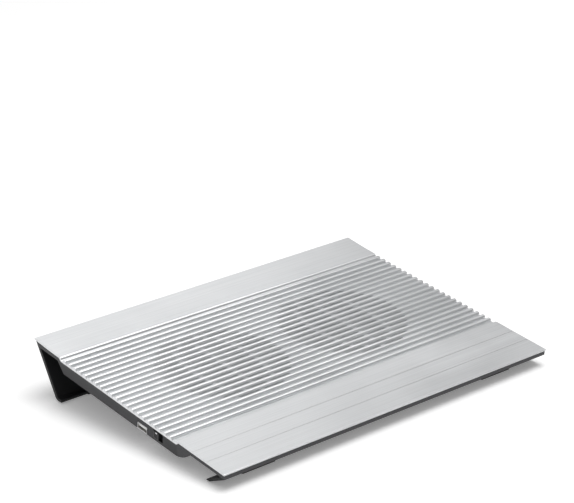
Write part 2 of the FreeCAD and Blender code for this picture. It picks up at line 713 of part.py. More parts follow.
def fan_lead_right():
    """Runs along the front of both wells and turns back into its header on the hub board."""
    inner, corner = lead_start(FAN_X)
    front = FAN_Y - WELL_SIZE / 2 - 7.0
    points = [
        inner,
        corner,
        Vector(corner.x, corner.y, HEADER_MIDDLE),
        Vector(corner.x, front, HEADER_MIDDLE),
        Vector(-162.0, front, HEADER_MIDDLE),
        Vector(-162.0, -60.0, HEADER_MIDDLE),
    ]
    return cord(points, LEAD_BEND, FAN_LEAD_RADIUS)


# --- sockets, switch and boards ----------------------------------------------------------------------
def hub_board():
    """Board under the left end of the deck, on four bosses."""
    board = box((-182.5, -151.0), (-60.0, -12.0), (HUB_BOARD_BOTTOM, BOARD_TOP))
    return board.cut([disc(1.0, HUB_BOARD_BOTTOM - 1, BOARD_TOP + 1, x, y) for x, y in BOARD_BOSSES])


def board_chips():
    """Controller, crystal can and two capacitors on the hub board."""
    controller = box((-170.0, -163.0), (-40.0, -33.0), (BOARD_TOP, BOARD_TOP + 1.2))
    crystal = rounded_box((-160.5, -157.5), (-33.0, -25.0), (BOARD_TOP, BOARD_TOP + 2.0), 1.3)
    capacitors = [disc(1.9, BOARD_TOP, BOARD_TOP + 3.0, -172.0, y) for y in (-48.0, -26.0)]
    return Part.makeCompound([controller, crystal] + capacitors)


def lead_headers():
    """Small plug headers where the three inner leads meet their boards."""
    top = BOARD_TOP + 3.2
    corner = lead_start(-FAN_X)[1]
    shell = [
        box((-157.0, -151.0), (corner.y - 3, corner.y + 3), (BOARD_TOP, top)),
        box((-165.0, -159.0), (-60.0, -54.0), (BOARD_TOP, top)),
        box((INLET_X - 4, INLET_X + 4), (-18.0, -12.0), (BOARD_TOP, top)),
        box((INLET_X - 4, INLET_X + 4), (78.0, 84.0), (INLET_BOARD_BOTTOM + INLET_BOARD, INLET_LEAD_REAR + 1.6)),
    ]
    return Part.makeCompound(shell)


def usb_shell():
    """Folded steel shell of the flat USB socket, open at the tray's left wall."""
    x = (-TRAY_HALF_WIDTH, -TRAY_HALF_WIDTH + PORT_DEPTH)
    half = PORT_WIDTH / 2
    top = PORT_BOTTOM + PORT_HEIGHT
    steel = 0.4
    shell = box(x, (PORT_Y - half, PORT_Y + half), (PORT_BOTTOM, top))
    inside = ((x[0] - 1, x[1] - steel), (PORT_Y - half + steel, PORT_Y + half - steel))
    return shell.cut(box(*inside, (PORT_BOTTOM + steel, top - steel)))


def usb_tongue():
    """Pale insulator: a block at the back of the socket with the contact tongue in front."""
    back = -TRAY_HALF_WIDTH + PORT_DEPTH - 0.4
    top = PORT_BOTTOM + PORT_HEIGHT - 0.4
    half = PORT_WIDTH / 2 - 0.4
    block = box((back - 2.0, back), (PORT_Y - half, PORT_Y + half), (PORT_BOTTOM + 0.4, top))
    tongue = box((-TRAY_HALF_WIDTH + 0.7, back - 1), (PORT_Y - 5.6, PORT_Y + 5.6), (top - 2.7, top - 0.8))
    return block.fuse(tongue).removeSplitter()


LEVER_Z = (-12.0, -10.4)
SWITCH_BODY_X = (-182.0, -177.0)


def switch_cap():
    """Sliding cap in the wall's window, with a retaining flange behind the wall."""
    face = -WIDTH / 2
    inner = -TRAY_HALF_WIDTH + WALL
    y = (SWITCH_Y - CAP_WIDTH / 2, SWITCH_Y + CAP_WIDTH / 2)
    z = (CAP_MIDDLE - CAP_HEIGHT / 2, CAP_MIDDLE + CAP_HEIGHT / 2)
    cap = box((face, inner + 0.5), y, z)
    front = [e for e in cap.Edges if e.BoundBox.XMax < face + 0.01]
    cap = cap.makeFillet(0.8, front)
    flange = box((inner + 0.3, inner + 1.3), (y[0] - 2.2, y[1] + 2.2), (z[0], z[1] + 1.2))
    grip = [box((face - 1, face + 0.35), (SWITCH_Y + k - 0.3, SWITCH_Y + k + 0.3), (z[0] + 1.2, z[1] - 1.2)) for k in
            (-1.6, 0.0, 1.6)]
    return cap.fuse(flange).removeSplitter().cut(grip)


def switch_lever():
    """Lever of the slide switch, held in the cap."""
    inner = -TRAY_HALF_WIDTH + WALL + 1.3
    return box((inner, SWITCH_BODY_X[0] + 1.5), (SWITCH_Y - 1, SWITCH_Y + 1), LEVER_Z)


def switch_body():
    """Slide switch soldered under the hub board, open towards the wall for its lever."""
    middle = SWITCH_Y - SWITCH_TRAVEL / 2
    body = box(SWITCH_BODY_X, (middle - 6, middle + 6), (-12.9, HUB_BOARD_BOTTOM))
    reach = SWITCH_TRAVEL / 2 + 1.4
    slot = (SWITCH_BODY_X[0] - 1, SWITCH_BODY_X[0] + 1.8)
    return body.cut(box(slot, (middle - reach, middle + reach), (LEVER_Z[0] - 0.4, LEVER_Z[1] + 0.4)))


INLET_LEAD_REAR = -9.5


def inlet_board():
    board = box((-175.0, -155.0), (78.0, 94.0), (INLET_BOARD_BOTTOM, INLET_BOARD_BOTTOM + INLET_BOARD))
    return board.cut([disc(1.0, -14, -10, x, y) for x, y in INLET_BOSSES])


def inlet_socket():
    """Mini-size power inlet, open towards the rear through the tray's sloping wall."""
    low = INLET_BOARD_BOTTOM + INLET_BOARD
    y = (INLET_MOUTH - 9.2, INLET_MOUTH)
    shell = box((INLET_X - 3.85, INLET_X + 3.85), y, (low, low + 3.9))
    mouth = ((INLET_X - 3.45, INLET_X + 3.45), (y[0] + 1.5, y[1] + 1))
    shell = shell.cut(box(*mouth, (low + 0.4, low + 3.5)))
    tongue = box((INLET_X - 2.2, INLET_X + 2.2), (y[0] + 1, y[1] - 0.8), (low + 1.6, low + 2.4))
    return shell.fuse(tongue).removeSplitter()


def inlet_lead():
    """Flat run from the inlet board up to the hub board."""
    points = [
        Vector(INLET_X, 78.0, INLET_LEAD_REAR),
        Vector(INLET_X, 50.0, INLET_LEAD_REAR),
        Vector(INLET_X, 20.0, HEADER_MIDDLE),
        Vector(INLET_X, -12.0, HEADER_MIDDLE),
    ]
    return cord(points, 20.0, INLET_LEAD_RADIUS)


# --- screws -------------------------------------------------------------------------------------------
def stand_screws(y, head_z, shank_top):
    return Part.makeCompound([pan_screw(x, y, head_z, shank_top, 1.25, 2.6, 1.5) for x in SCREW_X])


def fan_screws():
    spots = fan_corners(-FAN_X) + fan_corners(FAN_X)
    return Part.makeCompound([pan_screw(x, y, -WELL_DROP, WELL_FLOOR + 7, 1.5, 2.8, 1.4) for x, y in spots])


def board_screws():
    """Small screws down through both boards into the tray's bosses."""
    screws = []
    for spots, top, end in (
        (BOARD_BOSSES, BOARD_TOP, -12.6),
        (INLET_BOSSES, INLET_BOARD_BOTTOM + INLET_BOARD, -14.2),
    ):
        for x, y in spots:
            screw = pan_screw(0, 0, 0, top - end, 0.85, 1.8, 1.1)
            screw.rotate(Vector(0, 0, 0), Vector(1, 0, 0), 180)
            screws.append(moved(screw, x, y, top))
    return Part.makeCompound(screws)


# --- assembly ---------------------------------------------------------------------------------------------
def parts():
    """Every piece by node name, in the world frame."""
    made = {
        "top_panel": on_deck(top_panel()),
        "base_tray": on_deck(base_tray()),
        "rear_stand": rear_stand(),
        "front_stand": front_stand(),
        "front_pads": front_pads(),
        "rear_pads": rear_pads(),
        "rear_stand_screws": on_deck(stand_screws(REAR_RAIL, REAR_SHELF_BOTTOM - FLANGE, -1.2)),
        "front_stand_screws": on_deck(stand_screws(FRONT_RAIL, FRONT_SHELF_BOTTOM - FLANGE, -1.0)),
        "fan_screws": on_deck(fan_screws()),
        "board_screws": on_deck(board_screws()),
        "fan_lead_left": on_deck(fan_lead_left()),
        "fan_lead_right": on_deck(fan_lead_right()),
        "inlet_lead": on_deck(inlet_lead()),
        "hub_board": on_deck(hub_board()),
        "board_chips": on_deck(board_chips()),
        "lead_headers": on_deck(lead_headers()),
        "usb_shell": on_deck(usb_shell()),
        "usb_tongue": on_deck(usb_tongue()),
        "switch_cap": on_deck(switch_cap()),
        "switch_lever": on_deck(switch_lever()),
        "switch_body": on_deck(switch_body()),
        "inlet_board": on_deck(inlet_board()),
        "inlet_socket": on_deck(inlet_socket()),
    }
    fan = {
        "fan_frame": fan_frame(),
        "impeller": impeller(),
        "rotor_yoke": rotor_yoke(),
        "rotor_magnet": rotor_magnet(),
        "rotor_shaft": rotor_shaft(),
        "shaft_clip": shaft_clip(),
        "sleeve_bearing": sleeve_bearing(),
        "stator_core": stator_core(),
        "stator_coils": stator_coils(),
        "motor_board": motor_board(),
    }
    for side, x in (("left", -FAN_X), ("right", FAN_X)):
        for name, shape in fan.items():
            made[name + "_" + side] = placed_fan_part(shape, x)
    return made


os.makedirs("parts", exist_ok=True)
for node, shape in parts().items():
    shape.exportStep("parts/" + node + ".step")
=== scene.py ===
"""Looks of a tilted laptop cooling pad: ribbed aluminium deck, dark moulded tray, two fans and two stands."""

import json
import logging
import math
from dataclasses import dataclass, field
from enum import Enum

import bmesh
import bpy
from mathutils import Matrix, Vector

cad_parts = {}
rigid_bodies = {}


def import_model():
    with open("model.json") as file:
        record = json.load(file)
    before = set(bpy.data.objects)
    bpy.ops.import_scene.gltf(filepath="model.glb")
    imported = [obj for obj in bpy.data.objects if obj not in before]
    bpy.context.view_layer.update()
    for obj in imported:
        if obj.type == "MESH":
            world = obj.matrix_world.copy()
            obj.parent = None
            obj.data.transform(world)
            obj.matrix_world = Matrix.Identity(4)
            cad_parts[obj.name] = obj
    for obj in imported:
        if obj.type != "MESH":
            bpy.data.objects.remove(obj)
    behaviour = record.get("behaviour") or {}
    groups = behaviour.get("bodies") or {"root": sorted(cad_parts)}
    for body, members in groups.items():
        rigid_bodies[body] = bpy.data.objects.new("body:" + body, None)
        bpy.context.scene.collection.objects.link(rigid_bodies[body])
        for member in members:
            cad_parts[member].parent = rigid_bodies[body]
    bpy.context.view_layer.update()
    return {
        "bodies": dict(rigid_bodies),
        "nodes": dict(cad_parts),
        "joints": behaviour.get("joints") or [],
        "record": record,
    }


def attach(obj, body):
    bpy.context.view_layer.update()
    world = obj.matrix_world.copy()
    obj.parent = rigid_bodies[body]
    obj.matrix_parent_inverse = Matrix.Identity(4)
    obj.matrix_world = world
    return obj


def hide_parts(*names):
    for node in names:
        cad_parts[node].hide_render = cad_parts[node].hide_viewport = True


LOG = logging.getLogger("cooling_pad")
MM = 0.001
Colour = tuple[float, float, float]


class Grain(Enum):
    """Which way a brushed or drawn metal's grain runs."""

    ALONG_WIDTH = (6.0, 900.0, 900.0)
    EVEN = (500.0, 500.0, 500.0)


# --- shader helpers ---------------------------------------------------------------------------------


class Value:
    """A number socket in a shader graph, with ordinary arithmetic."""

    def __init__(self, graph: "Graph", socket: bpy.types.NodeSocket) -> None:
        """Wrap a socket.

        Args:
            graph: The graph it belongs to.
            socket: The output socket.
        """
        self.graph = graph
        self.socket = socket

    def _maths(self, operation: str, first: "Value | float", second: "Value | float") -> "Value":
        """Add one Math node.

        Args:
            operation: The node's operation.
            first: Its first value.
            second: Its second value.

        Returns:
            The node's output.
        """
        return self.graph.number("ShaderNodeMath", {"operation": operation}, {0: first, 1: second})

    def __add__(self, other: "Value | float") -> "Value":
        """Add a number or another value."""
        return self._maths("ADD", self, other)

    def __radd__(self, other: float) -> "Value":
        """Add to a number."""
        return self._maths("ADD", other, self)

    def __sub__(self, other: "Value | float") -> "Value":
        """Take away a number or another value."""
        return self._maths("SUBTRACT", self, other)

    def __rsub__(self, other: float) -> "Value":
        """Take this value from a number."""
        return self._maths("SUBTRACT", other, self)

    def __mul__(self, other: "Value | float") -> "Value":
        """Multiply by a number or another value."""
        return self._maths("MULTIPLY", self, other)


class Graph:
    """A material's node graph with one principled shader."""

    def __init__(self, name: str) -> None:
        """Start an empty graph.

        Args:
            name: The material's name.
        """
        self.material = bpy.data.materials.new(name)
        self.material.use_nodes = True
        self.tree = self.material.node_tree
        self.tree.nodes.clear()
        self.shader = self.tree.nodes.new("ShaderNodeBsdfPrincipled")
        output = self.tree.nodes.new("ShaderNodeOutputMaterial")
        self.tree.links.new(self.shader.outputs["BSDF"], output.inputs["Surface"])
        self.place = self.tree.nodes.new("ShaderNodeTexCoord").outputs["Object"]

    def node(self, kind: str, settings: dict, sockets: dict) -> bpy.types.Node:
        """Add a node.

        Args:
            kind: The node's type.
            settings: Its properties, set first.
            sockets: Values or links by socket name or number.

        Returns:
            The new node.
        """
        made = self.tree.nodes.new(kind)
        for name, value in settings.items():
            setattr(made, name, value)
        for key, value in sockets.items():
            self.feed(made.inputs[key], value)
        return made

    def number(self, kind: str, settings: dict, sockets: dict) -> Value:
        """Add a node.

        Args:
            kind: The node's type.
            settings: Its properties, set first.
            sockets: Values or links by socket name or number.

        Returns:
            Its first output.
        """
        return Value(self, self.node(kind, settings, sockets).outputs[0])

    def feed(self, socket: bpy.types.NodeSocket, value: object) -> None:
        """Link or set one input socket.

        Args:
            socket: The input.
            value: A value, a socket or a plain setting.
        """
        if isinstance(value, Value):
            self.tree.links.new(value.socket, socket)
        elif isinstance(value, bpy.types.NodeSocket):
            self.tree.links.new(value, socket)
        else:
            socket.default_value = value

    def scaled(self, scale: tuple[float, float, float]) -> bpy.types.NodeSocket:
        """Object coordinates stretched by a scale.

        Args:
            scale: Factor on each axis.

        Returns:
            The mapped coordinates.
        """
        sockets = {"Vector": self.place, "Scale": scale}
        mapping = self.node("ShaderNodeMapping", {"vector_type": "POINT"}, sockets)
        return mapping.outputs["Vector"]

    def noise(self, scale: tuple[float, float, float], detail: float = 3.0, roughness: float = 0.55) -> Value:
        """Fractal noise over the object's own coordinates.

        Args:
            scale: Cells per metre on each axis.
            detail: Octaves.
            roughness: Strength of the finer octaves.

        Returns:
            A value from 0 to 1.
        """
        sockets = {"Vector": self.scaled(scale), "Scale": 1.0, "Detail": detail, "Roughness": roughness}
        return self.number("ShaderNodeTexNoise", {}, sockets)

    def cells(self, scale: float) -> Value:
        """Distance to the nearest cell centre, for spark-eroded mould texture.

        Args:
            scale: Cells per metre.

        Returns:
            The distance.
        """
        sockets = {"Vector": self.scaled((scale, scale, scale)), "Scale": 1.0}
        return self.number("ShaderNodeTexVoronoi", {"feature": "F1"}, sockets)

    def span(self, value: Value, low: float, high: float, to_low: float, to_high: float) -> Value:
        """Map a value's range onto another, clamped.

        Args:
            value: The value.
            low: Start of its range.
            high: End of its range.
            to_low: Result at the start.
            to_high: Result at the end.

        Returns:
            The mapped value.
        """
        sockets = {0: value, 1: low, 2: high, 3: to_low, 4: to_high}
        return self.number("ShaderNodeMapRange", {"clamp": True}, sockets)

    def blend(self, amount: Value | float, first: Colour, second: Colour) -> bpy.types.NodeSocket:
        """Mix two colours.

        Args:
            amount: Share of the second.
            first: Colour at 0.
            second: Colour at 1.

        Returns:
            The mixed colour.
        """
        sockets = {0: amount, 6: (*first, 1.0), 7: (*second, 1.0)}
        mix = self.node("ShaderNodeMix", {"data_type": "RGBA"}, sockets)
        return mix.outputs[2]

    def edge_highlight(self) -> Value:
        """How convex the surface is, for a painted highlight that makes convex edges paler.

        Returns:
            A value from 0 to 1.
        """
        geometry = self.node("ShaderNodeNewGeometry", {}, {})
        return self.span(Value(self, geometry.outputs["Pointiness"]), 0.5, 0.62, 0.0, 1.0)

    def relief(self, height: Value, depth: float, strength: float = 1.0) -> None:
        """Feed a bump to the shader's normal.

        Args:
            height: The relief, from 0 to 1.
            depth: Its depth in metres.
            strength: How much of it shows.
        """
        sockets = {"Height": height, "Distance": depth, "Strength": strength}
        bump = self.node("ShaderNodeBump", {}, sockets)
        self.tree.links.new(bump.outputs["Normal"], self.shader.inputs["Normal"])

    def surface(self, **sockets: object) -> bpy.types.Material:
        """Feed the shader's sockets.

        Args:
            **sockets: Values by socket name, with underscores for spaces.

        Returns:
            The finished material.
        """
        for name, value in sockets.items():
            self.feed(self.shader.inputs[name.replace("_", " ")], value)
        return self.material


# --- finishes ----------------------------------------------------------------------------------------


@dataclass(frozen=True)
class DrawnAluminium:
    """Satin anodised aluminium with fine grain along the extrusion."""

    name: str = "deck_anodised"
    pale: Colour = (0.80, 0.81, 0.82)
    deep: Colour = (0.66, 0.67, 0.68)
    roughness: float = 0.34
    grain: Grain = Grain.ALONG_WIDTH
    depth: float = 0.000012

    def make(self) -> bpy.types.Material:
        """Build the material.

        Returns:
            The finished material.
        """
        g = Graph(self.name)
        lines = g.noise(self.grain.value, 4.0, 0.6)
        cloud = g.noise((14.0, 14.0, 14.0), 2.0)
        tone = g.span(lines * 0.6 + cloud * 0.4, 0.3, 0.7, 1.0, 0.0)
        g.relief(lines, self.depth, 0.5)
        rough = self.roughness + (lines - 0.5) * 0.14 + (cloud - 0.5) * 0.08
        return g.surface(
            Base_Color=g.blend(tone, self.pale, self.deep), Metallic=0.92, Roughness=rough, Anisotropic=0.45
        )


@dataclass(frozen=True)
class MouldedPlastic:
    """Spark-eroded moulded plastic: fine pits, cloudy gloss, and convex edges made paler as a painted edge
    highlight.
    """

    name: str
    colour: Colour
    roughness: float = 0.48
    pit: float = 0.0000300
    cells: float = 1700.0
    edge_lift: float = 0.35
    specular: float = 0.5

    def make(self) -> bpy.types.Material:
        """Build the material.

        Returns:
            The finished material.
        """
        g = Graph(self.name)
        pits = g.cells(self.cells)
        cloud = g.noise((22.0, 22.0, 22.0), 3.0)
        # Convex edges blend towards a paler colour: a painted highlight along the rims.
        edge_highlight = g.edge_highlight() * self.edge_lift
        pale = tuple(min(1.0, c * 1.7 + 0.02) for c in self.colour)
        dull = tuple(c * 0.86 for c in self.colour)
        base = g.blend(g.span(cloud, 0.35, 0.65, 0.0, 1.0) * 0.6, self.colour, dull)
        mix = g.node("ShaderNodeMix", {"data_type": "RGBA"}, {0: edge_highlight, 6: base, 7: (*pale, 1.0)})
        g.relief(pits, self.pit, 0.6)
        rough = self.roughness + (cloud - 0.5) * 0.16 + pits * 0.06 - edge_highlight * 0.12
        return g.surface(Base_Color=mix.outputs[2], Roughness=rough, IOR=1.49, Specular_IOR_Level=self.specular)


@dataclass(frozen=True)
class SoftRubber:
    """Black rubber with dusty patches."""

    name: str = "pad_rubber"
    colour: Colour = (0.004, 0.004, 0.004)
    dust: Colour = (0.010, 0.010, 0.011)

    def make(self) -> bpy.types.Material:
        """Build the material.

        Returns:
            The finished material.
        """
        g = Graph(self.name)
        patches = g.noise((180.0, 180.0, 180.0), 4.0)
        skin = g.noise((2600.0, 2600.0, 2600.0), 2.0)
        g.relief(skin, 0.00002, 0.7)
        share = g.span(patches, 0.45, 0.75, 0.0, 0.7)
        rough = 0.68 + (patches - 0.5) * 0.2
        base = g.blend(share, self.colour, self.dust)
        return g.surface(Base_Color=base, Roughness=rough, Specular_IOR_Level=0.2)


@dataclass(frozen=True)
class PlatedMetal:
    """Plated, turned or rolled metal with fine marks and slight tarnish."""

    name: str
    colour: Colour
    tarnish: Colour
    roughness: float = 0.26
    grain: Grain = Grain.EVEN

    def make(self) -> bpy.types.Material:
        """Build the material.

        Returns:
            The finished material.
        """
        g = Graph(self.name)
        marks = g.noise(self.grain.value, 4.0)
        stain = g.span(g.noise((130.0, 130.0, 130.0), 3.0), 0.45, 0.75, 0.0, 0.8)
        g.relief(marks, 0.00001, 0.6)
        rough = self.roughness + (marks - 0.5) * 0.2 + stain * 0.12
        return g.surface(Base_Color=g.blend(stain, self.colour, self.tarnish), Metallic=1.0, Roughness=rough)


@dataclass(frozen=True)
class CircuitBoard:
    """Solder mask over a faint track pattern."""

    name: str = "circuit_board"
    mask: Colour = (0.012, 0.085, 0.035)
    track: Colour = (0.03, 0.17, 0.06)

    def make(self) -> bpy.types.Material:
        """Build the material.

        Returns:
            The finished material.
        """
        g = Graph(self.name)
        sockets = {"Vector": g.scaled((420.0, 420.0, 420.0)), "Scale": 1.0}
        settings = {"feature": "DISTANCE_TO_EDGE", "distance": "EUCLIDEAN"}
        tracks = g.number("ShaderNodeTexVoronoi", settings, sockets)
        share = g.span(tracks, 0.04, 0.09, 1.0, 0.0)
        g.relief(share, 0.00003, 0.5)
        return g.surface(Base_Color=g.blend(share, self.mask, self.track), Roughness=0.3 - share * 0.08)


@dataclass(frozen=True)
class Winding:
    """Enamelled copper wire laid in turns, darker between the turns as painted crease shade."""

    name: str = "winding"
    copper: Colour = (0.62, 0.24, 0.10)
    painted_crease_shade: Colour = (0.22, 0.07, 0.03)

    def make(self) -> bpy.types.Material:
        """Build the material.

        Returns:
            The finished material.
        """
        g = Graph(self.name)
        sockets = {"Vector": g.place, "Scale": 900.0, "Distortion": 0.6, "Detail": 1.0}
        turns = g.number("ShaderNodeTexWave", {"wave_type": "BANDS", "bands_direction": "Z"}, sockets)
        g.relief(turns, 0.00008)
        # The low bands between turns take the darker colour: painted shade in the creases.
        return g.surface(
            Base_Color=g.blend(turns, self.painted_crease_shade, self.copper), Metallic=0.8, Roughness=0.34 - turns * 0.1
        )


@dataclass(frozen=True)
class TableTop:
    """Plain pale studio floor."""

    name: str = "studio_floor"
    pale: Colour = (0.93, 0.93, 0.93)
    glow: float = 0.22

    def make(self) -> bpy.types.Material:
        """Build the material.

        Returns:
            The finished material.
        """
        g = Graph(self.name)
        cloud = g.noise((3.0, 3.0, 3.0), 1.0)
        base = g.blend(cloud * 0.2, self.pale, (0.9, 0.9, 0.9))
        return g.surface(
            Base_Color=base, Roughness=0.9, Emission_Color=(1.0, 1.0, 1.0, 1.0), Emission_Strength=self.glow
        )


# --- mesh helpers --------------------------------------------------------------------------------------


class Section:
    """A cross-section in the Y-Z plane, drawn with lines and arcs, in metres."""

    def __init__(self, y: float, z: float) -> None:
        """Start at a point.

        Args:
            y: Its Y in millimetres.
            z: Its Z in millimetres.
        """
        self.points: list[tuple[float, float]] = [(y * MM, z * MM)]

    def line(self, y: float, z: float) -> "Section":
        """Go straight to a point.

        Args:
            y: Its Y in millimetres.
            z: Its Z in millimetres.

        Returns:
            The section.
        """
        self.points.append((y * MM, z * MM))
        return self

    def arc(self, mid: tuple[float, float], end: tuple[float, float], steps: int) -> "Section":
        """Go round an arc.

        Args:
            mid: A point on the arc.
            end: Where it ends.
            steps: Number of straight steps.

        Returns:
            The section.
        """
        a = Vector((self.points[-1][0] / MM, self.points[-1][1] / MM))
        b, c = Vector(mid), Vector(end)
        d = 2 * (a.x * (b.y - c.y) + b.x * (c.y - a.y) + c.x * (a.y - b.y))
        aa, bb, cc = a.length_squared, b.length_squared, c.length_squared
        centre = Vector(
            (
                (aa * (b.y - c.y) + bb * (c.y - a.y) + cc * (a.y - b.y)) / d,
                (aa * (c.x - b.x) + bb * (a.x - c.x) + cc * (b.x - a.x)) / d,
            )
        )
        radius = (a - centre).length
        start = math.atan2(a.y - centre.y, a.x - centre.x)
        sweep = math.remainder(math.atan2(b.y - centre.y, b.x - centre.x) - start, math.tau)
        sweep += math.remainder(math.atan2(c.y - centre.y, c.x - centre.x) - start - sweep, math.tau)
        for i in range(1, steps + 1):
            turn = start + sweep * i / steps
            self.line(centre.x + radius * math.cos(turn), centre.y + radius * math.sin(turn))
        return self

    def s_bend(self, run: float, rise: float, steps: int = 6) -> "Section":
        """Two equal arcs, level at both ends.

        Args:
            run: Shift along Y in millimetres.
            rise: Shift along Z in millimetres.
            steps: Straight steps in each arc.

        Returns:
            The section.
        """
        half_run, half_rise = abs(run) / 2, abs(rise) / 2
        radius = (half_run**2 + half_rise**2) / (2 * half_rise)
        turn = math.atan2(half_rise, half_run)
        ahead = math.copysign(radius * math.sin(turn), run)
        aside = math.copysign(radius * (1 - math.cos(turn)), rise)
        y, z = self.points[-1][0] / MM, self.points[-1][1] / MM
        self.arc((y + ahead, z + aside), (y + run / 2, z + rise / 2), steps)
        return self.arc((y + run - ahead, z + rise - aside), (y + run, z + rise), steps)

    def extruded(self, x_low: float, x_high: float) -> bmesh.types.BMesh:
        """Push the section out along X.

        Args:
            x_low: First end in metres.
            x_high: Second end in metres.

        Returns:
            A closed mesh.
        """
        bm = bmesh.new()
        face = bm.faces.new([bm.verts.new((x_low, y, z)) for y, z in self.points])
        grown = bmesh.ops.extrude_face_region(bm, geom=[face], use_keep_orig=True)["geom"]
        moved = [v for v in grown if isinstance(v, bmesh.types.BMVert)]
        bmesh.ops.translate(bm, verts=moved, vec=(x_high - x_low, 0, 0))
        bmesh.ops.recalc_face_normals(bm, faces=bm.faces)
        return bm


def chamfer(bm: bmesh.types.BMesh, edges: list[bmesh.types.BMEdge], width: float, segments: int = 2) -> None:
    """Round off edges.

    Args:
        bm: The mesh.
        edges: Edges to round.
        width: Width in metres.
        segments: Steps across the rounding.
    """
    bmesh.ops.bevel(
        bm, geom=edges, offset=width, offset_type="OFFSET", affect="EDGES", segments=segments, profile=0.5,
        material=-1, clamp_overlap=True,
    )


def piece(
    name: str, bm: bmesh.types.BMesh, material: bpy.types.Material, body: str, smooth: float = 32.0
) -> bpy.types.Object:
    """Turn a mesh into a finished piece.

    Args:
        name: The piece's name.
        bm: Its mesh, which is freed.
        material: Its finish.
        body: The body it rides on.
        smooth: Edges sharper than this many degrees stay sharp.

    Returns:
        The new object.
    """
    mesh = bpy.data.meshes.new(name)
    bm.to_mesh(mesh)
    bm.free()
    mesh.materials.append(material)
    mesh.shade_smooth()
    mesh.set_sharp_from_angle(angle=math.radians(smooth))
    made = bpy.data.objects.new(name, mesh)
    bpy.context.scene.collection.objects.link(made)
    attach(made, body)
    LOG.info("piece %s: %d faces on %s", name, len(mesh.polygons), body)
    return made


# --- sub-assemblies ----------------------------------------------------------------------------------


